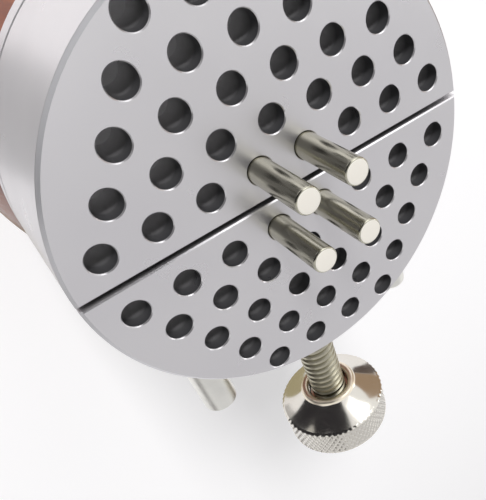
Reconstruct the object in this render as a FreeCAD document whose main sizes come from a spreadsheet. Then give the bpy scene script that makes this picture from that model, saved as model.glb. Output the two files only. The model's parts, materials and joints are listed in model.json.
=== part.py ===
import FreeCAD, Part
import math
import os
import re
import Sketcher

# Hand vise with a round split head on a turned wooden handle.
# Millimetres. +Z runs along the handle towards the jaws' face, the origin is the middle of the handle's flat
# foot, X runs along the split between the jaws, and the clamp screw's knob points to -Y.

doc = FreeCAD.newDocument("HandVise")
Vector = FreeCAD.Vector

sizes = (
    ("headDia", 50.8, "outside diameter of the jaws and the base disc"),
    ("jawDepth", 16.5, "thickness of a jaw"),
    ("jawGap", 0.6, "gap between the closed jaws"),
    ("faceBevel", 0.35, "bevel round the face"),
    ("splitBevel", 0.15, "bevel along the split"),
    ("rearBevel", 0.2, "bevel where the jaws meet the disc"),
    ("slideGap", 0.1, "running gap between the moving jaw and the disc"),
    ("holePitch", 6.0, "peg holes along a row"),
    ("rowPitch", 4.45, "one row of peg holes to the next"),
    ("firstRow", 3.7, "middle of the head to the first row"),
    ("firstRowHoles", 8, "peg holes in the row next to the split"),
    ("holeRows", 5, "rows of peg holes in a jaw"),
    ("holeDia", 3.1, "peg hole"),
    ("holeDepth", 5.5, "peg hole, to its flat floor"),
    ("holeRim", 0.1, "bevel round a peg hole's mouth"),
    ("pegDia", 3.0, "peg"),
    ("pegProud", 8.95, "peg above the face"),
    ("pegSeat", 5.4, "peg in its hole"),
    ("pegBevel", 0.3, "bevel of a peg's ends"),
    ("discThk", 3.0, "base disc"),
    ("discBevel", 0.3, "bevel of the base disc"),
    ("hubDia", 16.0, "hub under the base disc"),
    ("hubLen", 9.0, "hub under the base disc"),
    ("screwDia", 6.0, "clamp screw over its thread"),
    ("screwAxis", 10.3, "clamp screw and rods below the face"),
    ("screwReach", 14.4, "clamp screw past the middle, into the moving jaw"),
    ("screwBevel", 0.6, "bevel of the clamp screw's ends"),
    ("threadPlay", 0.05, "play round the clamp screw in its thread"),
    ("neckDia", 4.0, "groove near the clamp screw's inner end"),
    ("neckFromEnd", 3.0, "clamp screw's inner end to the groove"),
    ("keepPinDia", 2.0, "pins that hold the clamp screw in the moving jaw"),
    ("keepPinPast", 2.2, "those pins past the clamp screw's axis"),
    ("padThk", 1.2, "thrust pad at the clamp screw's inner end"),
    ("smallBevel", 0.2, "bevel of the thrust pad, the pins and the set screws"),
    ("knobMouth", 44.95, "middle of the head to the knob's collar"),
    ("collarDia", 9.7, "knob at its collar"),
    ("collarLen", 0.5, "straight land of the collar"),
    ("mouthDia", 7.1, "recess in the collar"),
    ("mouthDepth", 2.0, "recess in the collar"),
    ("coneEnd", 3.3, "collar's end to the knurled rim"),
    ("coneCurve", 14.0, "radius of the cone's hollow flank"),
    ("knobDia", 18.4, "knurled rim"),
    ("knobLen", 9.6, "knob"),
    ("knobBevel", 0.6, "bevel of the knurled rim"),
    ("rodDia", 5.0, "guide rod"),
    ("rodSpan", 34.2, "between the guide rods' axes"),
    ("rodReach", 14.0, "guide rod past the middle, into the moving jaw"),
    ("rodProud", 32.6, "guide rod past the middle, through the fixed jaw"),
    ("rodBevel", 0.5, "bevel of the guide rods' ends"),
    ("slidePlay", 0.05, "play round the guide rods and at the captive end"),
    ("setScrewDia", 3.0, "set screws on the guide rods"),
    ("setScrewAt", 9.0, "set screws from the middle of the head"),
    ("setSocket", 0.75, "half the socket of a set screw across its corners"),
    ("setSocketDepth", 1.2, "socket of a set screw"),
    ("jawScrewDia", 3.0, "screws that hold the fixed jaw"),
    ("jawScrewHead", 5.6, "their countersunk heads"),
    ("jawScrewLen", 8.0, "their length"),
    ("jawScrewSpan", 19.0, "between the two columns of them"),
    ("jawScrewNear", 7.5, "middle of the head to the near row of them"),
    ("jawScrewFar", 17.5, "middle of the head to the far row of them"),
    ("jawScrewSocket", 1.15, "half the socket of a jaw screw across its corners"),
    ("jawScrewSocketDepth", 1.3, "socket of a jaw screw"),
    ("seatPlay", 0.02, "play of pressed and screwed pieces in their seats"),
    ("studDia", 8.0, "stud between the head and the handle"),
    ("studInHub", 8.5, "stud in the hub"),
    ("studInInsert", 18.0, "stud in the handle's insert"),
    ("studBevel", 0.8, "bevel of the stud's ends"),
    ("insertDia", 12.0, "threaded insert in the wood"),
    ("insertLen", 20.0, "threaded insert in the wood"),
    ("handleLen", 84.0, "wooden handle"),
    ("footDia", 36.0, "handle at its foot, before the foot's edge is rounded"),
    ("footRound", 6.0, "round of the foot's edge"),
    ("bellyDia", 56.0, "handle at its widest"),
    ("bellyUp", 58.0, "foot to the widest place"),
    ("neckTopDia", 44.0, "handle under the base disc"),
    ("neckRound", 0.8, "round of the handle's upper edge"),
    ("woodPlay", 0.1, "play of the hub in the wood"),
)

sheet = doc.addObject("Spreadsheet::Sheet", "Sizes")
for line, (alias, value, words) in enumerate(sizes, start=1):
    sheet.set("A%d" % line, words)
    sheet.set("B%d" % line, str(value))
    sheet.setAlias("B%d" % line, alias)
doc.recompute()
aliases = {alias for alias, value, words in sizes}


def tied(text):
    # A formula of the sizes' names becomes one that reads the sheet
    return re.sub(r"[A-Za-z]\w*", lambda m: "Sizes." + m.group() if m.group() in aliases else m.group(), text)


def number(text):
    return float(sheet.evalExpression(tied(text)))


def bind(thing, place, text):
    thing.setExpression(place, tied(text))


# Heights and places that several pieces share
faceZ = "handleLen + discThk + jawDepth"
discZ = "handleLen + discThk"
axisZ = "(" + faceZ + " - screwAxis)"
axisInJaw = "jawDepth - screwAxis"
neckWidth = "(keepPinDia + 2 * slidePlay)"
neckMiddle = "(screwReach - neckFromEnd - keepPinDia / 2 - slidePlay)"
keepPinOut = "(neckDia / 2 + slidePlay + keepPinDia / 2)"
screwBore = "(screwDia / 2 + threadPlay)"
rodBore = "(rodDia / 2 + slidePlay)"
hubBore = "(hubDia / 2 + woodPlay)"

nodes = {}


def newBody(label):
    body = doc.addObject("PartDesign::Body", label)
    body.Label = label
    nodes[label] = body
    return body


def place(piece, x="0", y="0", z="0", turn=None):
    if turn is not None:
        piece.Placement = FreeCAD.Placement(Vector(), turn)
    for axis, text in zip("xyz", (x, y, z)):
        if text != "0":
            bind(piece, "Placement.Base." + axis, text)


halfTurn = FreeCAD.Rotation(Vector(0, 0, 1), 180)
towardKnob = FreeCAD.Rotation(Vector(1, 0, 0), 90)


def sketchOn(body, role, name, lift=None):
    # A sketch on one of the body's own planes, raised along the plane's normal by lift
    sketch = body.newObject("Sketcher::SketchObject", name)
    plane = next(f for f in body.Origin.OriginFeatures if f.Role == role)
    sketch.AttachmentSupport = (plane, [""])
    sketch.MapMode = "FlatFace"
    if lift:
        bind(sketch, "AttachmentOffset.Base.z", lift)
    return sketch


def datum(sketch, kind, parts, text):
    index = sketch.addConstraint(Sketcher.Constraint(kind, *parts, number(text)))
    sketch.setExpression("Constraints[%d]" % index, tied(text))


def pin(sketch, side, end, across, up):
    # The end of a side, or a circle's centre, at across and up from the sketch's origin
    for kind, axis, text in (("DistanceX", -2, across), ("DistanceY", -1, up)):
        if text == "0":
            sketch.addConstraint(Sketcher.Constraint("PointOnObject", side, end, axis))
        else:
            datum(sketch, kind, (-1, 1, side, end), text)


def arcThrough(start, end, radius, bulge):
    # Arc from start to end; bulge 1 has its middle to the right of the way from start to end, -1 to the left
    chord = end - start
    across = Vector(chord.y, -chord.x, 0).normalize() * bulge
    rise = math.sqrt(max(radius ** 2 - chord.Length ** 2 / 4, 0.0))
    centre = (start + end) * 0.5 - across * rise
    angles = [math.atan2(p.y - centre.y, p.x - centre.x) for p in (start, end)]
    if bulge < 0:
        angles.reverse()
    if angles[1] < angles[0]:
        angles[1] += 2 * math.pi
    return Part.ArcOfCircle(Part.Circle(centre, Vector(0, 0, 1), radius), *angles)


def outline(sketch, corners, arcs=None):
    # Closed outline through the corners, each an (across, up) pair of formulas; arcs gives the radius and
    # the bulge of the sides that are round, by the number of the corner where the side begins
    arcs = arcs or {}
    spots = [Vector(number(x), number(y), 0) for x, y in corners]
    ends = []
    for i, start in enumerate(spots):
        end = spots[(i + 1) % len(spots)]
        if i in arcs:
            radius, bulge = arcs[i]
            side = sketch.addGeometry(arcThrough(start, end, number(radius), bulge))
            ends.append((side, 1, 2) if bulge > 0 else (side, 2, 1))
        else:
            side = sketch.addGeometry(Part.LineSegment(start, end))
            ends.append((side, 1, 2))
    for i, (x, y) in enumerate(corners):
        side, first, last = ends[i]
        before, _, beforeLast = ends[i - 1]
        sketch.addConstraint(Sketcher.Constraint("Coincident", before, beforeLast, side, first))
        pin(sketch, side, first, x, y)
        if i in arcs:
            datum(sketch, "Radius", (side,), arcs[i][0])


def circle(sketch, across, up, radius):
    side = sketch.addGeometry(Part.Circle(Vector(number(across), number(up), 0), Vector(0, 0, 1), number(radius)))
    pin(sketch, side, 3, across, up)
    datum(sketch, "Radius", (side,), radius)
    return side


def circlePair(sketch, across, up, radius):
    # Two circles, one each side of the sketch's upright axis
    right = circle(sketch, across, up, radius)
    left = sketch.addGeometry(Part.Circle(Vector(-number(across), number(up), 0), Vector(0, 0, 1), number(radius)))
    sketch.addConstraint(Sketcher.Constraint("Symmetric", right, 3, left, 3, -2))
    sketch.addConstraint(Sketcher.Constraint("Equal", right, left))


def turned(label, corners, arcs=None):
    # A lathe piece, drawn standing on its first end
    body = newBody(label)
    sketch = sketchOn(body, "XZ_Plane", label + "_profile")
    outline(sketch, corners, arcs)
    spin = body.newObject("PartDesign::Revolution", label + "_turn")
    spin.Profile = sketch
    spin.ReferenceAxis = (sketch, ["V_Axis"])
    spin.Angle = 360
    return body


def barCorners(radius, length, bevel):
    return (("0", "0"), (radius + " - " + bevel, "0"), (radius, bevel), (radius, length + " - " + bevel),
            (radius + " - " + bevel, length), ("0", length))


def pad(body, sketch, length):
    feature = body.newObject("PartDesign::Pad", sketch.Name + "_pad")
    feature.Profile = sketch
    bind(feature, "Length", length)
    return feature


def pocket(body, sketch, depth, upward=False):
    feature = body.newObject("PartDesign::Pocket", sketch.Name + "_pocket")
    feature.Profile = sketch
    feature.Reversed = upward
    bind(feature, "Length", depth)
    return feature


def edgeNames(shape, height, kind):
    # Edges of one kind that lie flat at a height of the body
    found = []
    for index, edge in enumerate(shape.Edges, start=1):
        box = edge.BoundBox
        flat = abs(box.ZMin - height) < 1e-5 and abs(box.ZMax - height) < 1e-5
        if flat and isinstance(edge.Curve, kind):
            found.append("Edge%d" % index)
    return found


def dressEdges(body, feature, height, curve, text, kind="Chamfer"):
    doc.recompute()
    dressed = body.newObject("PartDesign::" + kind, feature.Name + "_" + kind.lower())
    dressed.Base = (feature, edgeNames(feature.Shape, number(height), curve))
    bind(dressed, "Radius" if kind == "Fillet" else "Size", text)
    return dressed


def drill(body, sketch, dia, depth):
    # A Hole feature needs its base worked out before it is set up
    doc.recompute()
    hole = body.newObject("PartDesign::Hole", sketch.Name + "_hole")
    hole.Profile = sketch
    hole.ThreadType = "None"
    hole.DepthType = "Dimension"
    hole.DrillPoint = "Flat"
    bind(hole, "Diameter", dia)
    bind(hole, "Depth", depth)
    return hole


def countersink(hole, dia):
    hole.HoleCutType = "Countersink"
    hole.HoleCutCustomValues = True
    hole.HoleCutCountersinkAngle = 90
    bind(hole, "HoleCutDiameter", dia)


def halfHead(label, lift):
    # Half of the round head, drawn on the +Y side with its rear face on the disc, and its staggered grid
    body = newBody(label)
    plan = sketchOn(body, "XY_Plane", label + "_plan", lift)
    radius = number("headDia / 2")
    wall = number("jawGap / 2")
    reach = math.sqrt(radius ** 2 - wall ** 2)
    start = math.atan2(wall, reach)
    rim = plan.addGeometry(Part.ArcOfCircle(Part.Circle(Vector(), Vector(0, 0, 1), radius), start, math.pi - start))
    split = plan.addGeometry(Part.LineSegment(Vector(-reach, wall, 0), Vector(reach, wall, 0)))
    plan.addConstraint(Sketcher.Constraint("Coincident", rim, 3, -1, 1))
    plan.addConstraint(Sketcher.Constraint("Coincident", split, 1, rim, 2))
    plan.addConstraint(Sketcher.Constraint("Coincident", split, 2, rim, 1))
    plan.addConstraint(Sketcher.Constraint("Horizontal", split))
    datum(plan, "Radius", (rim,), "headDia / 2")
    datum(plan, "DistanceY", (-1, 1, split, 2), "jawGap / 2")
    block = pad(body, plan, "jawDepth - " + lift if lift else "jawDepth")
    last = dressEdges(body, block, "jawDepth", Part.Circle, "faceBevel")
    last = dressEdges(body, last, "jawDepth", Part.Line, "splitBevel")
    dressEdges(body, last, lift or "0", Part.Circle, "rearBevel")
    for row in range(int(number("holeRows"))):
        count = int(number("firstRowHoles")) - row
        spot = sketchOn(body, "XY_Plane", "%s_row%d" % (label, row), "jawDepth")
        circle(spot, "holePitch * %g" % ((count - 1) / 2), "firstRow + rowPitch * %d" % row, "holeDia / 2")
        hole = drill(body, spot, "holeDia", "holeDepth")
        countersink(hole, "holeDia + 2 * holeRim")
        rowOfHoles = body.newObject("PartDesign::LinearPattern", "%s_holes%d" % (label, row))
        rowOfHoles.Originals = [hole]
        rowOfHoles.Direction = (spot, ["H_Axis"])
        rowOfHoles.Reversed = True
        rowOfHoles.Occurrences = count
        bind(rowOfHoles, "Length", "holePitch * %d" % (count - 1))
        body.Tip = rowOfHoles
    return body


def crossBore(body, name, radius, depth, across="0"):
    # A bore, or a pair of them, from the split wall towards the rim at the screw's height
    sketch = sketchOn(body, "XZ_Plane", name)
    if across == "0":
        circle(sketch, "0", axisInJaw, radius)
    else:
        circlePair(sketch, across, axisInJaw, radius)
    return pocket(body, sketch, depth)


def makeFixedJaw():
    jaw = halfHead("fixed_jaw", None)
    crossBore(jaw, "screw_thread", screwBore, "headDia")
    crossBore(jaw, "rod_ways", rodBore, "headDia", "rodSpan / 2")
    taps = sketchOn(jaw, "XY_Plane", "jaw_screw_taps")
    for up in ("jawScrewNear", "jawScrewFar"):
        circlePair(taps, "jawScrewSpan / 2", up, "jawScrewDia / 2 + seatPlay")
    jaw.Tip = pocket(jaw, taps, "jawScrewLen - discThk + seatPlay", upward=True)
    place(jaw, z=discZ, turn=halfTurn)


def makeMovingJaw():
    jaw = halfHead("moving_jaw", "slideGap")
    crossBore(jaw, "screw_end_seat", screwBore, "screwReach + slidePlay + padThk")
    crossBore(jaw, "rod_seats", "rodDia / 2 + seatPlay", "rodReach", "rodSpan / 2")
    pins = sketchOn(jaw, "XY_Plane", "keep_pin_holes", "slideGap")
    circlePair(pins, keepPinOut, neckMiddle, "keepPinDia / 2 + seatPlay")
    pocket(jaw, pins, axisInJaw + " - slideGap + keepPinPast + seatPlay", upward=True)
    taps = sketchOn(jaw, "XY_Plane", "set_screw_taps", "slideGap")
    circlePair(taps, "rodSpan / 2", "setScrewAt", "setScrewDia / 2 + seatPlay")
    jaw.Tip = pocket(jaw, taps, axisInJaw + " - slideGap", upward=True)
    place(jaw, z=discZ)


def makeBaseDisc():
    disc = newBody("base_disc")
    plan = sketchOn(disc, "XY_Plane", "disc_plan")
    circle(plan, "0", "0", "headDia / 2")
    plate = pad(disc, plan, "discThk")
    last = dressEdges(disc, plate, "discThk", Part.Circle, "discBevel")
    dressEdges(disc, last, "0", Part.Circle, "discBevel")
    hub = sketchOn(disc, "XY_Plane", "hub_plan")
    circle(hub, "0", "0", "hubDia / 2")
    pad(disc, hub, "hubLen").Reversed = True
    thread = sketchOn(disc, "XY_Plane", "stud_thread", "-hubLen")
    circle(thread, "0", "0", "studDia / 2 + seatPlay")
    pocket(disc, thread, "studInHub + seatPlay", upward=True)
    heads = sketchOn(disc, "XY_Plane", "jaw_screw_holes")
    for up in ("jawScrewNear", "jawScrewFar"):
        circlePair(heads, "jawScrewSpan / 2", up, "jawScrewDia / 2 + seatPlay")
    holes = drill(disc, heads, "jawScrewDia + 2 * seatPlay", "discThk")
    holes.Reversed = True
    countersink(holes, "jawScrewHead + 2 * seatPlay")
    disc.Tip = holes
    place(disc, z="handleLen", turn=halfTurn)


def socketed(label, piece, radius, depth):
    # A hexagon socket sunk in the end that the piece stands on
    piece.Label = label + "_blank"
    key = doc.addObject("Part::Prism", label + "_key")
    key.Polygon = 6
    bind(key, "Circumradius", radius)
    bind(key, "Height", depth)
    screw = doc.addObject("Part::Cut", label)
    screw.Label = label
    screw.Base = piece
    screw.Tool = key
    nodes[label] = screw
    return screw


def makeJawScrews():
    shank = "jawScrewDia / 2"
    headRise = "(jawScrewHead - jawScrewDia) / 2"
    corners = (("0", "0"), ("jawScrewHead / 2", "0"), (shank, headRise), (shank, "jawScrewLen"), ("0", "jawScrewLen"))
    for sideName, sign in (("left", "-"), ("right", "")):
        for rowName, up in (("near", "jawScrewNear"), ("far", "jawScrewFar")):
            label = "jaw_screw_%s_%s" % (rowName, sideName)
            screw = socketed(label, turned(label, corners), "jawScrewSocket", "jawScrewSocketDepth")
            place(screw, sign + "jawScrewSpan / 2", "-" + up, "handleLen")


def makeClampScrew():
    radius = "screwDia / 2"
    length = "(screwReach + knobMouth + knobLen)"
    neckEnd = "neckFromEnd + " + neckWidth
    corners = (("0", "0"), (radius + " - screwBevel", "0"), (radius, "screwBevel"), (radius, "neckFromEnd"),
               ("neckDia / 2", "neckFromEnd"), ("neckDia / 2", neckEnd), (radius, neckEnd),
               (radius, length + " - screwBevel"), (radius + " - screwBevel", length), ("0", length))
    place(turned("clamp_screw", corners), y="screwReach", z=axisZ, turn=towardKnob)


def makeKnob():
    # Collar with a recessed mouth, hollow polished cone, and the rim that is knurled
    bore = "screwDia / 2 + seatPlay"
    rim = "knobDia / 2"
    corners = ((bore, "mouthDepth"), ("mouthDia / 2", "mouthDepth"), ("mouthDia / 2", "0"), ("collarDia / 2", "0"),
               ("collarDia / 2", "collarLen"), (rim + " - knobBevel / 2", "coneEnd"),
               (rim, "coneEnd + knobBevel / 2"), (rim, "knobLen - knobBevel"),
               (rim + " - knobBevel", "knobLen"), (bore, "knobLen"))
    place(turned("knob", corners, {4: ("coneCurve", -1)}), y="-knobMouth", z=axisZ, turn=towardKnob)


def makeMovingJawPieces():
    seatDepth = "(" + axisInJaw + " - slideGap)"
    underside = discZ + " + slideGap"
    rod = barCorners("rodDia / 2", "(rodReach + rodProud)", "rodBevel")
    keepPin = barCorners("keepPinDia / 2", "(" + seatDepth + " + keepPinPast)", "smallBevel")
    setLength = "(" + seatDepth + " - rodDia / 2 - seatPlay)"
    setScrew = barCorners("setScrewDia / 2", setLength, "smallBevel")
    for sideName, sign in (("left", "-"), ("right", "")):
        place(turned("guide_rod_" + sideName, rod), sign + "rodSpan / 2", "rodReach", axisZ, towardKnob)
        place(turned("keep_pin_" + sideName, keepPin), sign + keepPinOut, neckMiddle, underside)
        label = "set_screw_" + sideName
        screw = socketed(label, turned(label, setScrew), "setSocket", "setSocketDepth")
        place(screw, sign + "rodSpan / 2", "setScrewAt", underside)
    thrust = barCorners("screwDia / 2", "padThk", "smallBevel")
    place(turned("thrust_pad", thrust), y="screwReach + slidePlay + padThk", z=axisZ, turn=towardKnob)


def makePegs():
    peg = barCorners("pegDia / 2", "(pegProud + pegSeat)", "pegBevel")
    for jawName, ySign in (("upper", ""), ("lower", "-")):
        for sideName, xSign in (("left", "-"), ("right", "")):
            label = "peg_%s_%s" % (jawName, sideName)
            place(turned(label, peg), xSign + "holePitch / 2", ySign + "firstRow", faceZ + " - pegSeat")


def roundEdge(body, height, radius, text):
    # Rounds the one circular edge of this height and radius
    doc.recompute()
    base = body.Tip
    level, wanted = number(height), number(radius)
    names = []
    for name in edgeNames(base.Shape, level, Part.Circle):
        if abs(base.Shape.getElement(name).Curve.Radius - wanted) < 1e-4:
            names.append(name)
    fillet = body.newObject("PartDesign::Fillet", body.Name + "_round_" + text)
    fillet.Base = (base, names)
    bind(fillet, "Radius", text)
    body.Tip = fillet


def makeHandle():
    # The flank is two arcs that meet upright at the belly, and the top holds the hub and the insert
    shoulder = "handleLen - hubLen - woodPlay"
    insertFloor = shoulder + " - insertLen"
    belly = "bellyDia / 2"
    neckStep = "(bellyDia - neckTopDia) / 2"
    footStep = "(bellyDia - footDia) / 2"
    upperArc = "((%s) ^ 2 + (handleLen - bellyUp) ^ 2) / (2 * %s)" % (neckStep, neckStep)
    lowerArc = "((%s) ^ 2 + bellyUp ^ 2) / (2 * %s)" % (footStep, footStep)
    insertBore = "insertDia / 2 + seatPlay"
    corners = (("0", "0"), ("footDia / 2", "0"), (belly, "bellyUp"), ("neckTopDia / 2", "handleLen"),
               (hubBore, "handleLen"), (hubBore, shoulder), (insertBore, shoulder), (insertBore, insertFloor),
               ("0", insertFloor))
    handle = turned("handle", corners, {1: (lowerArc, 1), 2: (upperArc, 1)})
    roundEdge(handle, "0", "footDia / 2", "footRound")
    roundEdge(handle, "handleLen", "neckTopDia / 2", "neckRound")


def makeHandleJoint():
    length = "(studInHub + studInInsert)"
    stud = turned("handle_stud", barCorners("studDia / 2", length, "studBevel"))
    place(stud, z="handleLen - hubLen - studInInsert")
    bore = "studDia / 2 + seatPlay"
    ring = ((bore, "0"), ("insertDia / 2", "0"), ("insertDia / 2", "insertLen"), (bore, "insertLen"))
    place(turned("handle_insert", ring), z="handleLen - hubLen - woodPlay - insertLen")


makeHandle()
makeHandleJoint()
makeBaseDisc()
makeFixedJaw()
makeJawScrews()
makeMovingJaw()
makeMovingJawPieces()
makeClampScrew()
makeKnob()
makePegs()
doc.recompute()

faults = [thing.Label for thing in doc.Objects if "Invalid" in thing.State or "Error" in thing.State]
faults += [label for label, piece in nodes.items() if piece.Shape.isNull() or not piece.Shape.isValid()]
if faults:
    raise RuntimeError("failed: " + ", ".join(faults))

os.makedirs("parts", exist_ok=True)
for label, piece in nodes.items():
    piece.Shape.exportStep(os.path.join("parts", label + ".step"))
    print("%-22s %d solid, %9.2f mm3" % (label, len(piece.Shape.Solids), piece.Shape.Volume))
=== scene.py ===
# Hand vise: split aluminium peg head, nickel-plated screw and knob, lacquered wooden handle
import json
import math
import bmesh
import bpy
from mathutils import Matrix, Vector


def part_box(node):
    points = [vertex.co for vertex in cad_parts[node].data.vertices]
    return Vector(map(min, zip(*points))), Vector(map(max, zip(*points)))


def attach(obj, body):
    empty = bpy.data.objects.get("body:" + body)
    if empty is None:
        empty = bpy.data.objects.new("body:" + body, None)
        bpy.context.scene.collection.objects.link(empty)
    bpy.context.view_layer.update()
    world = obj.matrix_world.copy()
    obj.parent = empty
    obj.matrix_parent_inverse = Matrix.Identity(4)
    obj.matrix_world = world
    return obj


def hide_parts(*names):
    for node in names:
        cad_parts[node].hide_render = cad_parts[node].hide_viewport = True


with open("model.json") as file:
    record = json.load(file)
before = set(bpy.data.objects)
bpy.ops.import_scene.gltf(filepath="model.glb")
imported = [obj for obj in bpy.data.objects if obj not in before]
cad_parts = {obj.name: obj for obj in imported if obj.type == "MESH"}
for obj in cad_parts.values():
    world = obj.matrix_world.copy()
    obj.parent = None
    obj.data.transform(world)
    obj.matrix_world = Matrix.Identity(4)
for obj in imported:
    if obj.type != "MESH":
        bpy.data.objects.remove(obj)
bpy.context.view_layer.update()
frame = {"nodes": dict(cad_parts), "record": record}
mm = 0.001      # in metres


# Places that several pieces share, read from the frame
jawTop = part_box("fixed_jaw")[1]
faceHeight = jawTop.z
headRadius = jawTop.x
faceMiddle = Vector((0, 0, faceHeight))
lowScrew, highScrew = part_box("clamp_screw")
screwHeight = (lowScrew.z + highScrew.z) / 2
screwRadius = (highScrew.x - lowScrew.x) / 2
lowKnob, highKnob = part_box("knob")


# Mesh helpers

weldGap = 1e-7       # metres; points closer than this become one
sliverGap = 1e-8
cutShare = 0.45      # a rounding takes at most this share of the side before or after its corner


def addPiece(name, verts, faces, place, sharpAngle=35):
    mesh = bpy.data.meshes.new(name)
    mesh.from_pydata(verts, [], faces)
    mesh.transform(place)
    mesh.validate()
    bm = bmesh.new()
    bm.from_mesh(mesh)
    bmesh.ops.remove_doubles(bm, verts=bm.verts, dist=weldGap)
    bmesh.ops.dissolve_degenerate(bm, edges=bm.edges, dist=sliverGap)
    bmesh.ops.recalc_face_normals(bm, faces=bm.faces)
    bm.to_mesh(mesh)
    bm.free()
    mesh.shade_smooth()
    mesh.set_sharp_from_angle(angle=math.radians(sharpAngle))
    piece = bpy.data.objects.new(name, mesh)
    bpy.context.scene.collection.objects.link(piece)
    return piece


def rounded(corners, radius, steps=4):
    # Profile corners (across, up) with each inner corner rounded off
    path = [corners[0]]
    for before, corner, after in zip(corners, corners[1:], corners[2:]):
        here = Vector(corner)
        back = Vector(before) - here
        ahead = Vector(after) - here
        cut = min(radius, back.length * cutShare, ahead.length * cutShare)
        start = here + back.normalized() * cut
        end = here + ahead.normalized() * cut
        for step in range(steps + 1):
            t = step / steps
            path.append(tuple(start * (1 - t) ** 2 + here * 2 * t * (1 - t) + end * t ** 2))
    path.append(corners[-1])
    return path


def latheGrid(profile, segments, radiusAt=None):
    # Rings of a turned piece about Z; radiusAt may change a radius by angle
    verts = []
    for ring, (across, up) in enumerate(profile):
        for step in range(segments):
            angle = 2 * math.pi * step / segments
            r = radiusAt(ring, angle, across, up) if radiusAt else across
            verts.append((r * math.cos(angle), r * math.sin(angle), up))
    faces = []
    for ring in range(len(profile) - 1):
        for step in range(segments):
            nextStep = (step + 1) % segments
            a = ring * segments
            b = a + segments
            faces.append((a + step, a + nextStep, b + nextStep, b + step))
    return verts, faces


def towardKnob(startY):
    # A piece drawn along Z comes to lie along the screw's line, from startY towards -Y
    return Matrix.Translation((0, startY, screwHeight)) @ Matrix.Rotation(math.radians(90), 4, "X")


# Material helpers

noiseSpan = (0.3, 0.7)      # most of a noise's values lie between these


def newMaterial(name):
    material = bpy.data.materials.new(name)
    material.use_nodes = True
    tree = material.node_tree
    return material, tree, tree.nodes["Principled BSDF"]


def addNode(tree, kind, **settings):
    node = tree.nodes.new("ShaderNode" + kind)
    for key, value in settings.items():
        if key in node.inputs:
            node.inputs[key].default_value = value
        else:
            setattr(node, key, value)
    return node


def addMath(tree, operation, first, second=None):
    node = tree.nodes.new("ShaderNodeMath")
    node.operation = operation
    for socket, value in zip(node.inputs, (first, second)):
        if value is None:
            continue
        if hasattr(value, "links"):
            tree.links.new(value, socket)
        else:
            socket.default_value = value
    return node.outputs[0]


def addProduct(tree, *factors):
    product = factors[0]
    for factor in factors[1:]:
        product = addMath(tree, "MULTIPLY", product, factor)
    return product


def addReach(tree, first, second):
    # Distance from an axis, from the two coordinates across it
    squares = [addMath(tree, "MULTIPLY", value, value) for value in (first, second)]
    return addMath(tree, "SQRT", addMath(tree, "ADD", *squares))


def addSplit(tree, vector):
    node = tree.nodes.new("ShaderNodeSeparateXYZ")
    tree.links.new(vector, node.inputs[0])
    return node.outputs


def addMix(tree, share, first, second):
    # The first colour where share is 0, the second where it is 1
    node = addNode(tree, "Mix", data_type="RGBA")
    tree.links.new(share, node.inputs[0])
    for socket, colour in zip(node.inputs[6:8], (first, second)):
        if hasattr(colour, "links"):
            tree.links.new(colour, socket)
        else:
            socket.default_value = (*colour, 1)
    return node.outputs[2]


def addNoise(tree, coords, scale, detail=3.0, roughness=0.5):
    noise = addNode(tree, "TexNoise", Scale=scale, Detail=detail, Roughness=roughness)
    tree.links.new(coords, noise.inputs["Vector"])
    return noise.outputs["Fac"]


def addRange(tree, value, low, high, outLow, outHigh):
    node = tree.nodes.new("ShaderNodeMapRange")
    tree.links.new(value, node.inputs[0])
    for socket, number in zip(node.inputs[1:5], (low, high, outLow, outHigh)):
        socket.default_value = number
    return node.outputs[0]


def addRamp(tree, value, stops):
    node = tree.nodes.new("ShaderNodeValToRGB")
    ramp = node.color_ramp
    while len(ramp.elements) < len(stops):
        ramp.elements.new(0.5)
    for element, (position, colour) in zip(ramp.elements, stops):
        element.position = position
        element.color = (*colour, 1.0)
    tree.links.new(value, node.inputs[0])
    return node.outputs[0]


def addBump(tree, shader, height, distance, strength=1.0):
    bump = addNode(tree, "Bump", Strength=strength, Distance=distance)
    tree.links.new(height, bump.inputs["Height"])
    tree.links.new(bump.outputs[0], shader.inputs["Normal"])


def objectCoords(tree, scale=(1, 1, 1)):
    coords = tree.nodes.new("ShaderNodeTexCoord")
    mapping = tree.nodes.new("ShaderNodeMapping")
    mapping.inputs["Scale"].default_value = scale
    tree.links.new(coords.outputs["Object"], mapping.inputs["Vector"])
    return mapping.outputs[0]


aluminiumLook = {
    "skinColours": (
        # noise, colour
        (0.35, (0.695, 0.68, 0.70)),
        (0.65, (0.72, 0.705, 0.72)),
    ),
    "cloudScale": 55,
    # Painted shade and light in the bores: darkest near the mouth where the lamps reach in, lighter deeper
    # down, nearly white at the floor
    "boreShadeColours": (
        # share of the bore's depth, colour
        (0.0, (0.034, 0.034, 0.037)),
        (0.28, (0.066, 0.065, 0.068)),
        (0.45, (0.30, 0.295, 0.30)),
        (0.65, (0.62, 0.61, 0.62)),
        (1.0, (0.97, 0.96, 0.97)),
    ),
    "boreDepth": 5.5 * mm,
    "boreFloor": 0.6 * mm,             # below the bores' floors the plain skin goes on
    "boreStart": (0.11 * mm, 0.2 * mm),  # below the face
    "boreInset": 0.3 * mm,             # from the head's rim
    # Painted shade in the gap between the jaws: the split's walls get a darker colour
    "splitShadeColour": (0.45, 0.44, 0.455),
    "splitShadeStart": (0.2 * mm, 0.7 * mm),
    "splitHalf": 0.6 * mm,             # bores lie farther from the split than this
    # Painted light on the face's bevel: a lighter colour and less metal brighten its band
    "rimLightColour": (0.74, 0.735, 0.76),
    "rimWidth": 0.345 * mm,
    "rimStart": (0.34 * mm, 0.3 * mm),
    "rimMetal": 0.72,                  # the face's bevel is less metallic, so the lamps light it more: painted light
    "metal": 0.86,                     # the anodised skin scatters the rest
    "roughness": (0.27, 0.34),
    "roughScale": 160,
    "grainScale": 6000,
    "grainHeight": 0.0015 * mm,
}


def belowFace(tree, height, start):
    # 0 above the first depth below the face, 1 below the second
    return addRange(tree, height, faceHeight - start[0], faceHeight - start[1], 0, 1)


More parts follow.
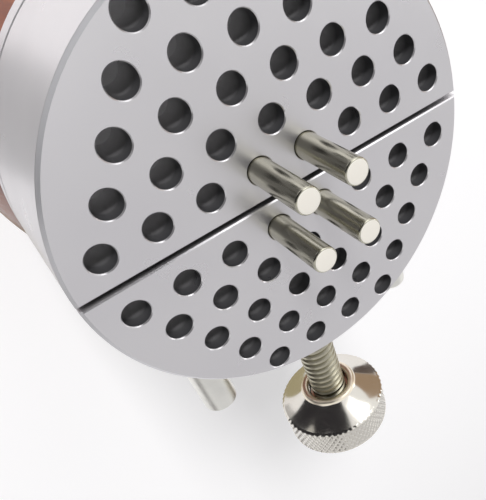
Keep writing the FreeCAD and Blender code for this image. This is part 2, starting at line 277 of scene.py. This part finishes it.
def makeSatinAluminium():
    look = aluminiumLook
    material, tree, shader = newMaterial("satinAluminium")
    coords = objectCoords(tree)
    skin = addRamp(tree, addNoise(tree, coords, look["cloudScale"], 2), look["skinColours"])
    along, off, height = addSplit(tree, coords)
    across = addReach(tree, along, off)
    # Inside the rim and below the face's bevels lie the bores and the walls of the split
    isWithin = addMath(tree, "LESS_THAN", across, headRadius - look["boreInset"])
    inSplit = addMath(tree, "LESS_THAN", addMath(tree, "ABSOLUTE", off), look["splitHalf"])
    boreEnd = faceHeight - look["boreDepth"] - look["boreFloor"]
    # The split's walls: painted shade in the gap
    wall = addProduct(tree, isWithin, inSplit, belowFace(tree, height, look["splitShadeStart"]))
    bore = addProduct(tree, isWithin, addMath(tree, "GREATER_THAN", height, boreEnd),
                      addMath(tree, "SUBTRACT", 1.0, inSplit), belowFace(tree, height, look["boreStart"]))
    rim = addMath(tree, "MULTIPLY", addMath(tree, "GREATER_THAN", across, headRadius - look["rimWidth"]),
                  belowFace(tree, height, look["rimStart"]))
    # Painted shade and light in the bores, by depth below the face
    boreShade = addRamp(tree, belowFace(tree, height, (0, look["boreDepth"])), look["boreShadeColours"])
    colour = addMix(tree, bore, addMix(tree, wall, skin, look["splitShadeColour"]), boreShade)
    tree.links.new(addMix(tree, rim, colour, look["rimLightColour"]), shader.inputs["Base Color"])
    lessMetal = addMath(tree, "MULTIPLY", rim, look["metal"] - look["rimMetal"])
    metal = addMath(tree, "SUBTRACT", addRange(tree, bore, 0, 1, look["metal"], 0), lessMetal)
    tree.links.new(metal, shader.inputs["Metallic"])
    rough = addRange(tree, addNoise(tree, coords, look["roughScale"], 4), *noiseSpan, *look["roughness"])
    tree.links.new(rough, shader.inputs["Roughness"])
    addBump(tree, shader, addNoise(tree, coords, look["grainScale"], 2), look["grainHeight"])
    return material


metalLooks = {
    # material: colour, roughness from and to, scale of the fine marks, their height
    "brightNickelSteel": ((0.70, 0.68, 0.61), (0.16, 0.26), 1500, 0.002 * mm),
    # The rods: the plated steel in a lighter copy, painted light
    "rodSteelPaintedLight": ((0.88, 0.87, 0.82), (0.28, 0.36), 1500, 0.002 * mm),
    "plainSteel": ((0.36, 0.36, 0.37), (0.3, 0.42), 2400, 0.003 * mm),
    "turnedBrass": ((0.72, 0.52, 0.22), (0.22, 0.32), 2400, 0.003 * mm),
}

metalMottle = {
    "toneScale": 260,
    "darkShare": 0.9,
    "glossScale": 700,
}


def makeMetal(name):
    # Turned metal: faint uneven gloss and fine marks
    colour, roughness, markScale, markHeight = metalLooks[name]
    material, tree, shader = newMaterial(name)
    coords = objectCoords(tree)
    tone = addNoise(tree, coords, metalMottle["toneScale"], 3)
    darker = tuple(channel * metalMottle["darkShare"] for channel in colour)
    mottle = addRamp(tree, tone, tuple(zip(noiseSpan, (darker, colour))))
    tree.links.new(mottle, shader.inputs["Base Color"])
    shader.inputs["Metallic"].default_value = 1.0
    rough = addRange(tree, addNoise(tree, coords, metalMottle["glossScale"], 3), *noiseSpan, *roughness)
    tree.links.new(rough, shader.inputs["Roughness"])
    addBump(tree, shader, addNoise(tree, coords, markScale, 2), markHeight)
    return material


pegLook = {
    # painted shade on the flanks, painted light on the end faces
    "flankShadeColour": (0.52, 0.505, 0.42),
    "endLightColour": (0.93, 0.89, 0.81),
    "endMetal": 0.35,
    "flankRoughness": 0.24,
    "endRoughness": 0.42,
    "endSlope": (0.93, 0.97),   # how far a surface faces up where the end begins
    "markScale": 1500,
    "markHeight": 0.002 * mm,
}


def makePegSteel():
    # One plated steel in a shaded and a lit copy: darker drawn flanks, painted shade and reflection, and
    # lighter, less metallic turned end faces that face up, painted light
    look = pegLook
    material, tree, shader = newMaterial("pegSteel")
    slope = addSplit(tree, addNode(tree, "TexCoord").outputs["Normal"])[2]
    onEnd = addRange(tree, slope, *look["endSlope"], 0, 1)
    tree.links.new(addMix(tree, onEnd, look["flankShadeColour"], look["endLightColour"]), shader.inputs["Base Color"])
    tree.links.new(addRange(tree, onEnd, 0, 1, 1, look["endMetal"]), shader.inputs["Metallic"])
    rough = addRange(tree, onEnd, 0, 1, look["flankRoughness"], look["endRoughness"])
    tree.links.new(rough, shader.inputs["Roughness"])
    addBump(tree, shader, addNoise(tree, objectCoords(tree), look["markScale"], 2), look["markHeight"])
    return material


plateLook = {
    "colour": (0.76, 0.73, 0.67),
    # the lip's tan tint: painted reflection of the wooden handle
    "lipReflectionColour": (0.92, 0.83, 0.68),
    "roughness": 0.14,
    "lipRoughness": 0.34,
    "lipReach": 0.52 * mm,      # how far down the collar the turned lip goes
    "lipBlend": 0.05 * mm,
    "unevenScale": 700,
    "uneven": (-0.02, 0.03),
    "markScale": 1100,
    "markHeight": 0.0015 * mm,
}


def makeKnobPlate():
    # Polished plating on the cone, a duller turned lip round the mouth with a tan tint that is a painted
    # reflection of the wooden handle
    look = plateLook
    material, tree, shader = newMaterial("knobPlate")
    coords = objectCoords(tree)
    lipEdge = highKnob.y - look["lipReach"]
    lip = addRange(tree, addSplit(tree, coords)[1], lipEdge - look["lipBlend"], lipEdge, 0, 1)
    tree.links.new(addMix(tree, lip, look["colour"], look["lipReflectionColour"]), shader.inputs["Base Color"])
    shader.inputs["Metallic"].default_value = 1.0
    rough = addRange(tree, lip, 0, 1, look["roughness"], look["lipRoughness"])
    uneven = addRange(tree, addNoise(tree, coords, look["unevenScale"], 3), *noiseSpan, *look["uneven"])
    tree.links.new(addMath(tree, "ADD", rough, uneven), shader.inputs["Roughness"])
    addBump(tree, shader, addNoise(tree, coords, look["markScale"], 2), look["markHeight"])
    return material


threadLook = {
    "colour": (0.50, 0.475, 0.37),
    # painted shade in the thread's roots
    "rootShadeColour": (0.29, 0.265, 0.19),
    "crestReach": (0.45 * mm, 0.1 * mm),  # below the screw's outside, root to crest
    "roughness": 0.30,
    "markScale": 1500,
    "markHeight": 0.002 * mm,
}


def makeThreadSteel():
    # Rolled thread, duller and browner than the plated knob, with painted shade in its roots
    look = threadLook
    material, tree, shader = newMaterial("threadSteel")
    coords = objectCoords(tree)
    side, along, height = addSplit(tree, coords)
    out = addReach(tree, side, addMath(tree, "SUBTRACT", height, screwHeight))
    deep, shallow = look["crestReach"]
    crest = addRange(tree, out, screwRadius - deep, screwRadius - shallow, 0, 1)
    tree.links.new(addMix(tree, crest, look["rootShadeColour"], look["colour"]), shader.inputs["Base Color"])
    shader.inputs["Metallic"].default_value = 1.0
    shader.inputs["Roughness"].default_value = look["roughness"]
    addBump(tree, shader, addNoise(tree, coords, look["markScale"], 2), look["markHeight"])
    return material


woodLook = {
    "colours": (
        # grain, colour
        (0.28, (0.075, 0.016, 0.008)),
        (0.52, (0.17, 0.045, 0.020)),
        (0.80, (0.27, 0.085, 0.038)),
    ),
    "stretch": 0.09,         # along the handle, so that the grain runs with it
    "wander": (45, 4, 0.6),  # scale, detail, roughness
    "ringScale": 60.0,
    "ringDistortion": 9.0,
    "ringDetail": 3.0,
    "ringDetailScale": 1.5,
    "ringShare": 0.55,
    "fibreStretch": 0.03,
    "fibres": (2600, 3, 0.65),
    "grainShare": 0.62,
    "fibreShare": 0.38,
    "fibreHeight": 0.02 * mm,
    "fibreStrength": 0.6,
    "roughness": (0.36, 0.52),
    "coat": 0.30,
    "coatRoughness": 0.12,
}


def makeLacqueredWood():
    look = woodLook
    material, tree, shader = newMaterial("lacqueredWood")
    along = objectCoords(tree, (1, 1, look["stretch"]))
    wander = addNoise(tree, along, *look["wander"])
    rings = addNode(tree, "TexWave", wave_type="RINGS", rings_direction="Y", Scale=look["ringScale"],
                    Distortion=look["ringDistortion"], Detail=look["ringDetail"])
    rings.inputs["Detail Scale"].default_value = look["ringDetailScale"]
    tree.links.new(along, rings.inputs["Vector"])
    grain = addMath(tree, "MULTIPLY_ADD", rings.outputs["Fac"], look["ringShare"])
    tree.links.new(wander, grain.node.inputs[2])
    fibres = addNoise(tree, objectCoords(tree, (1, 1, look["fibreStretch"])), *look["fibres"])
    shade = addMath(tree, "ADD", addMath(tree, "MULTIPLY", grain, look["grainShare"]),
                    addMath(tree, "MULTIPLY", fibres, look["fibreShare"]))
    tree.links.new(addRamp(tree, shade, look["colours"]), shader.inputs["Base Color"])
    rough = addRange(tree, fibres, *noiseSpan, *look["roughness"])
    tree.links.new(rough, shader.inputs["Roughness"])
    shader.inputs["Coat Weight"].default_value = look["coat"]
    shader.inputs["Coat Roughness"].default_value = look["coatRoughness"]
    addBump(tree, shader, fibres, look["fibreHeight"], look["fibreStrength"])
    return material


materials = {
    "satin_aluminium": makeSatinAluminium(),
    "nickel_steel": makeMetal("brightNickelSteel"),
    "nickel_plate": makeKnobPlate(),
    "plain_steel": makeMetal("plainSteel"),
    "brass": makeMetal("turnedBrass"),
    "lacquered_wood": makeLacqueredWood(),
}
pegSteel = makePegSteel()
threadSteel = makeThreadSteel()
rodSteelPaintedLight = makeMetal("rodSteelPaintedLight")
print("materials made")


def dress(piece, body, slotName, material=None):
    piece.data.materials.clear()
    piece.data.materials.append(material or materials[slotName])
    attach(piece, body)


slotOf = {row["node"]: row["material_slot"] for row in frame["record"]["subparts"]}
for nodeName, node in frame["nodes"].items():
    for slot in node.material_slots:
        slot.material = materials[slotOf[nodeName]]
print("frame dressed:", len(frame["nodes"]), "nodes")


# Clamp screw with its real thread

screwForm = {
    "pitch": 1.25 * mm,
    "threadDepth": 0.5 * mm,
    "crest": 0.40,          # share of the pitch that is flat crest
    "root": 0.10,           # share that is root
    "turnSteps": 48,
    "endBevel": 0.7 * mm,
    "neckStart": 3.0 * mm,
    "neckEnd": 5.1 * mm,
    "neckRadius": 2.0 * mm,
    "neckRound": 0.15 * mm,
    "runOut": 0.5 * mm,     # step down beside the neck and past the thread
    "runOutLen": 0.3 * mm,
    "threadEnd": 61.1 * mm,  # a little inside the knob's mouth
    "shankBevel": 0.5 * mm,
    "shankRound": 0.25 * mm,
}

centreLine = 0.0001 * mm    # stands for a turned piece's axis


def threadRadius(share):
    # Depth of the thread over one pitch: crest, flank, root, flank
    form = screwForm
    flank = (1 - form["crest"] - form["root"]) / 2
    if share < form["crest"]:
        depth = 0
    elif share < form["crest"] + flank:
        depth = (share - form["crest"]) / flank
    elif share < form["crest"] + flank + form["root"]:
        depth = 1
    else:
        depth = (1 - share) / flank
    return screwRadius - form["threadDepth"] * depth


def threadGrid(start, end, startBevel=0.0):
    # The rows follow the helix, so each one keeps its place on the thread's profile
    form = screwForm
    flank = (1 - form["crest"] - form["root"]) / 2
    corners = (0, form["crest"], form["crest"] + flank, 1 - flank, 1)
    shares = [share for low, high in zip(corners, corners[1:]) for share in (low, (low + high) / 2)]
    turns = math.ceil((end - start) / form["pitch"]) + 2
    verts = []
    rows = []
    for turn in range(-1, turns):
        for share in shares:
            row = []
            for step in range(form["turnSteps"] + 1):
                part = step / form["turnSteps"]
                up = start + (turn + share + part) * form["pitch"]
                up = min(max(up, start), end)
                radius = threadRadius(share)
                if startBevel:
                    radius = min(radius, screwRadius - startBevel + (up - start))
                angle = 2 * math.pi * part
                row.append(len(verts))
                verts.append((radius * math.cos(angle), radius * math.sin(angle), up))
            rows.append(row)
    faces = []
    for low, high in zip(rows, rows[1:]):
        for step in range(form["turnSteps"]):
            faces.append((low[step], low[step + 1], high[step + 1], high[step]))
    return verts, faces


def joinGrids(*grids):
    verts = []
    faces = []
    for gridVerts, gridFaces in grids:
        shift = len(verts)
        verts += gridVerts
        faces += [tuple(index + shift for index in face) for face in gridFaces]
    return verts, faces


def makeClampScrew():
    form = screwForm
    length = highScrew.y - lowScrew.y
    full = screwRadius
    root = full - form["runOut"]
    bevel = form["shankBevel"]
    innerEnd = latheGrid([(centreLine, 0), (full - form["endBevel"], 0)], form["turnSteps"])
    firstThread = threadGrid(0, form["neckStart"], form["endBevel"])
    groove = [(root, form["neckStart"]), (form["neckRadius"], form["neckStart"]),
              (form["neckRadius"], form["neckEnd"]), (root, form["neckEnd"])]
    neck = latheGrid(rounded(groove, form["neckRound"]), form["turnSteps"])
    mainThread = threadGrid(form["neckEnd"], form["threadEnd"])
    plain = [(root, form["threadEnd"]), (full, form["threadEnd"] + form["runOutLen"]),
             (full, length - bevel), (full - bevel, length), (centreLine, length)]
    shank = latheGrid(rounded(plain, form["shankRound"]), form["turnSteps"])
    piece = addPiece("threadedScrew", *joinGrids(innerEnd, firstThread, neck, mainThread, shank),
                     towardKnob(highScrew.y), 40)
    dress(piece, "screw_and_knob", "nickel_steel", threadSteel)
    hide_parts("clamp_screw")


makeClampScrew()
print("clamp screw made")


# Knob: collar with a recessed mouth, polished hollow cone, diamond-knurled rim

knobForm = {
    "boreRadius": 3.02 * mm,
    "mouthRadius": 3.55 * mm,
    "mouthDepth": 2.0 * mm,
    "collarRadius": 4.85 * mm,
    "collarLen": 0.5 * mm,
    "lipSteps": 8,
    "coneEnd": 3.3 * mm,
    "coneCurve": 14.0 * mm,
    "coneSteps": 24,
    "rimBevel": 0.6 * mm,
    "knurlPitch": 1.02 * mm,
    "knurlDepth": 0.26 * mm,
    "knurlSlant": 0.62,
    "knurlFade": 0.35 * mm,
    "knurlMargin": 0.3 * mm,   # how far the knurl reaches into the rim's bevels
    "knurlPower": 1.2,         # rounds the feet of its ridges
    "knurlRows": 40,
    "mouthRound": 0.18 * mm,
    "backLand": 1.6 * mm,      # flat land of the end face, then a shallow recess
    "recessSlope": 0.4 * mm,
    "recess": 0.25 * mm,
    "boreLand": 0.8 * mm,
    "boreSink": 0.1 * mm,
    "backRound": 0.12 * mm,
    "segments": 456,
}


def arcPoints(start, end, radius, steps):
    # Points of the arc from start to end that bows towards the axis
    a = Vector(start)
    b = Vector(end)
    chord = b - a
    side = Vector((chord.y, -chord.x)).normalized()
    centre = (a + b) / 2 + side * math.sqrt(radius ** 2 - (chord.length / 2) ** 2)
    first = math.atan2(a.y - centre.y, a.x - centre.x)
    last = math.atan2(b.y - centre.y, b.x - centre.x)
    if abs(last - first) > math.pi:
        last += math.copysign(2 * math.pi, first - last)
    return [(centre.x + radius * math.cos(first + (last - first) * k / steps),
             centre.y + radius * math.sin(first + (last - first) * k / steps)) for k in range(steps + 1)]


def makeKnob():
    form = knobForm
    length = highKnob.y - lowKnob.y
    rim = (highKnob.x - lowKnob.x) / 2
    rimStart = form["coneEnd"] + form["rimBevel"] / 2
    rimEnd = length - form["rimBevel"]
    teeth = round(2 * math.pi * rim / form["knurlPitch"])

    def knurled(ring, angle, across, up):
        margin = form["knurlMargin"]
        if not rimStart - margin < up < rimEnd + margin or across < rim - form["rimBevel"]:
            return across
        low = (up - rimStart + margin / 2) / form["knurlFade"]
        high = (rimEnd + margin / 2 - up) / form["knurlFade"]
        fade = min(1, max(0, low), max(0, high))
        slant = (up - rimStart) * teeth / rim * form["knurlSlant"]
        ridges = []
        for way in (1, -1):
            wave = (teeth * angle + way * slant) / (2 * math.pi) % 1
            ridges.append(abs(wave * 2 - 1))
        return across - form["knurlDepth"] * fade * max(ridges) ** form["knurlPower"]

    coneTop = (form["collarRadius"], form["collarLen"])
    coneFoot = (rim - form["rimBevel"] / 2, form["coneEnd"])
    cone = arcPoints(coneTop, coneFoot, form["coneCurve"], form["coneSteps"])
    lipRadius = (form["collarRadius"] - form["mouthRadius"]) / 2
    lipMiddle = form["mouthRadius"] + lipRadius
    lip = []
    for step in range(form["lipSteps"] + 1):
        angle = math.pi * (1 - step / form["lipSteps"])
        lip.append((lipMiddle + lipRadius * math.cos(angle), form["collarLen"] * (1 - math.sin(angle))))
    mouth = [(form["boreRadius"], form["mouthDepth"]), (form["mouthRadius"], form["mouthDepth"]), lip[0]]
    front = rounded(mouth, form["mouthRound"])[:-1] + lip
    rows = form["knurlRows"]
    band = [(rim, rimStart + (rimEnd - rimStart) * k / rows) for k in range(rows + 1)]
    faceRadius = rim - form["rimBevel"]
    landRadius = faceRadius - form["backLand"]
    sunk = length - form["recess"]
    back = rounded([(rim, rimEnd), (faceRadius, length), (landRadius, length),
                    (landRadius - form["recessSlope"], sunk), (form["boreRadius"] + form["boreLand"], sunk),
                    (form["boreRadius"], length - form["boreSink"]),
                    (form["boreRadius"], form["mouthDepth"])], form["backRound"])
    profile = front[:-1] + cone + band + back[1:]
    verts, faces = latheGrid(profile, form["segments"], knurled)
    piece = addPiece("knurledKnob", verts, faces, towardKnob(highKnob.y), 38)
    dress(piece, "screw_and_knob", "nickel_plate")
    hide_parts("knob")


makeKnob()
print("knob made")


# Pegs and guide rods: bars with softly rounded ends

barForm = {"segments": 64, "pegRound": 0.32 * mm, "rodRound": 0.4 * mm}


def makeBar(name, nodeName, body, upright, endRound, material=None):
    low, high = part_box(nodeName)
    size = high - low
    middle = (low + high) / 2
    radius = size.x / 2
    length = size.z if upright else size.y
    corners = [(centreLine, 0), (radius, 0), (radius, length), (centreLine, length)]
    verts, faces = latheGrid(rounded(corners, endRound, 6), barForm["segments"])
    if upright:
        place = Matrix.Translation((middle.x, middle.y, low.z))
    else:
        place = Matrix.Translation((middle.x, 0, 0)) @ towardKnob(high.y)
    piece = addPiece(name, verts, faces, place)
    dress(piece, body, "nickel_steel", material)
    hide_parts(nodeName)


for jawName in ("upper", "lower"):
    for sideName in ("left", "right"):
        peg = "peg_%s_%s" % (jawName, sideName)
        makeBar(peg + "_bright", peg, peg + "_body", True, barForm["pegRound"], pegSteel)
for sideName in ("left", "right"):
    rod = "guide_rod_" + sideName
    makeBar(rod + "_bright", rod, "sliding_jaw", False, barForm["rodRound"], rodSteelPaintedLight)
print("pegs and rods made")


# Stage: pale floor, soft lamps, camera

stageLook = {
    "floorSize": 4.0,
    "floorColour": (0.88, 0.87, 0.88),
    "floorRoughness": 0.9,
    "floorSpecular": 0.1,
    "floorLift": 0.20,       # white that the floor gives off towards the camera and bright metal
    "skyLight": 0.46,
    "skyColour": (1.0, 1.0, 1.0),
}

# Cards that only bright metal sees, hung round the knob as a photographer does; their glowing shades are
# painted reflections in the metal.
# Headings in degrees; an upright card has a bottom and a top, a flat one reaches from near to far.
underKnob = (-12 * mm, -55 * mm)
besideKnob = (-5 * mm, -48 * mm)
underHead = (0.0, 0.0)
sheetLift = 0.5 * mm         # flat cards lie this far above the floor
cardBlack = (0.035, 0.033, 0.036)
cards = {
    "blackHigh": {"middle": besideKnob, "from": 87, "to": 150, "near": 0.10,
                  "bottom": 0.122, "top": 0.26, "shade": cardBlack},
    "blackWall": {"middle": besideKnob, "from": 87, "to": 174, "near": 0.50,
                  "bottom": 0.0, "top": 0.25, "shade": cardBlack},
    "blackSheet": {"middle": besideKnob, "from": 124, "to": 174, "near": 0.112, "far": 0.50,
                   "bottom": sheetLift, "shade": cardBlack},
    "greyWall": {"middle": besideKnob, "from": 174, "to": 240, "near": 0.50,
                 "bottom": 0.03, "top": 0.23, "shade": (0.30, 0.29, 0.29)},
    "greySheet": {"middle": besideKnob, "from": 112, "to": 143, "near": 0.055, "far": 0.112,
                  "bottom": sheetLift, "shade": (0.56, 0.55, 0.55)},
    "brownWall": {"middle": besideKnob, "from": -6, "to": 43, "near": 0.25,
                  "bottom": 0.006, "top": 0.158, "shade": (0.39, 0.28, 0.19)},
    "brownSheet": {"middle": besideKnob, "from": -8, "to": 24, "near": 0.142, "far": 0.26,
                   "bottom": sheetLift, "shade": (0.12, 0.095, 0.085)},
    "tanSheet": {"middle": underKnob, "from": 0, "to": 360, "near": 0.0, "far": 0.036,
                 "bottom": sheetLift, "shade": (0.43, 0.38, 0.24)},
    "greyCeiling": {"middle": underHead, "from": 200, "to": 340, "near": 0.45,
                    "bottom": 0.25, "top": 1.6, "shade": (0.67, 0.665, 0.675)},
}
cardSteps = 24


def seenRay(tree):
    # 1 for what the camera, bright metal and glass see
    rays = tree.nodes.new("ShaderNodeLightPath").outputs
    bright = addMath(tree, "MAXIMUM", rays["Is Glossy Ray"], rays["Is Transmission Ray"])
    return addMath(tree, "MAXIMUM", rays["Is Camera Ray"], bright)


def makeFloor():
    half = stageLook["floorSize"] / 2
    mesh = bpy.data.meshes.new("floor")
    corners = [(-half, -half, 0), (half, -half, 0), (half, half, 0), (-half, half, 0)]
    mesh.from_pydata(corners, [], [(0, 1, 2, 3)])
    floor = bpy.data.objects.new("floor", mesh)
    bpy.context.scene.collection.objects.link(floor)
    material, tree, shader = newMaterial("paleFloor")
    shader.inputs["Base Color"].default_value = (*stageLook["floorColour"], 1)
    shader.inputs["Roughness"].default_value = stageLook["floorRoughness"]
    shader.inputs["Specular IOR Level"].default_value = stageLook["floorSpecular"]
    shader.inputs["Emission Color"].default_value = (1, 1, 1, 1)
    lift = addRange(tree, seenRay(tree), 0, 1, 0, stageLook["floorLift"])
    tree.links.new(lift, shader.inputs["Emission Strength"])
    mesh.materials.append(material)


def makeCard(name, card):
    # A curved upright card, or with "far" a sheet lying flat
    middle = Vector((*card["middle"], 0))
    verts = []
    for step in range(cardSteps + 1):
        heading = math.radians(card["from"] + (card["to"] - card["from"]) * step / cardSteps)
        way = Vector((math.cos(heading), math.sin(heading), 0))
        verts.append(middle + way * card["near"] + Vector((0, 0, card["bottom"])))
        reach = card.get("far", card["near"])
        verts.append(middle + way * reach + Vector((0, 0, card.get("top", card["bottom"]))))
    faces = [(2 * step, 2 * step + 2, 2 * step + 3, 2 * step + 1) for step in range(cardSteps)]
    mesh = bpy.data.meshes.new(name)
    mesh.from_pydata(verts, [], faces)
    screen = bpy.data.objects.new(name, mesh)
    bpy.context.scene.collection.objects.link(screen)
    material, tree, shader = newMaterial(name)
    shader.inputs["Base Color"].default_value = (0, 0, 0, 1)
    shader.inputs["Roughness"].default_value = 1.0
    shader.inputs["Specular IOR Level"].default_value = 0.0
    shader.inputs["Emission Color"].default_value = (*card["shade"], 1)
    shader.inputs["Emission Strength"].default_value = 1.0
    mesh.materials.append(material)
    screen.visible_camera = False
    screen.visible_diffuse = False
    screen.visible_transmission = False
    screen.visible_shadow = False


def makeWorld():
    # Lamps light the object; what the camera and the bright metal see of the room is plain white
    world = bpy.data.worlds.new("room")
    bpy.context.scene.world = world
    world.use_nodes = True
    tree = world.node_tree
    background = tree.nodes["Background"]
    background.inputs[0].default_value = (*stageLook["skyColour"], 1)
    strength = addRange(tree, seenRay(tree), 0, 1, stageLook["skyLight"], 1.0)
    tree.links.new(strength, background.inputs["Strength"])


def makeLamp(name, way, far, size, power, glints):
    data = bpy.data.lights.new(name, "AREA")
    data.shape = "RECTANGLE"
    data.size, data.size_y = size
    data.energy = power
    lamp = bpy.data.objects.new(name, data)
    bpy.context.scene.collection.objects.link(lamp)
    lamp.location = faceMiddle + Vector(way).normalized() * far
    lamp.rotation_euler = (faceMiddle - lamp.location).to_track_quat("-Z", "Y").to_euler()
    lamp.visible_glossy = glints


lamps = (
    # name, direction from the face, distance, size, power, whether metal shows it
    ("keyLamp", (-0.06, 0.84, 0.545), 2.0, (0.45, 0.45), 32.0, False),
    ("windowLamp", (0.39, 0.76, 0.52), 0.8, (0.36, 0.42), 0.76, True),
    ("sideLamp", (0.95, -0.03, 0.32), 0.8, (0.22, 0.22), 0.3, True),
)

viewPoint = {
    "eye": (-23.24 * mm, 33.36 * mm, 50.26 * mm),  # from the middle of the jaws' face
    "aim": (4.43 * mm, -22.66 * mm, 0.0),          # where the view's axis meets the face
    "roll": 127.45,
    "lens": 40.93,
    "shift": (-0.2344, 0.1153),
    "sensor": 36,
    "clip": (2 * mm, 20),
}


def makeCamera():
    data = bpy.data.cameras.new("camera")
    data.sensor_width = viewPoint["sensor"]
    data.lens = viewPoint["lens"]
    data.shift_x, data.shift_y = viewPoint["shift"]
    data.clip_start, data.clip_end = viewPoint["clip"]
    camera = bpy.data.objects.new("camera", data)
    bpy.context.scene.collection.objects.link(camera)
    eye = faceMiddle + Vector(viewPoint["eye"])
    aim = faceMiddle + Vector(viewPoint["aim"])
    upright = (aim - eye).to_track_quat("-Z", "Y").to_matrix().to_4x4()
    rolled = upright @ Matrix.Rotation(math.radians(viewPoint["roll"]), 4, "Z")
    camera.matrix_world = Matrix.Translation(eye) @ rolled
    bpy.context.scene.camera = camera


makeFloor()
for cardName, card in cards.items():
    makeCard(cardName, card)
makeWorld()
for lampRow in lamps:
    makeLamp(*lampRow)
makeCamera()
bpy.context.scene.view_settings.view_transform = "Standard"
print("stage made")
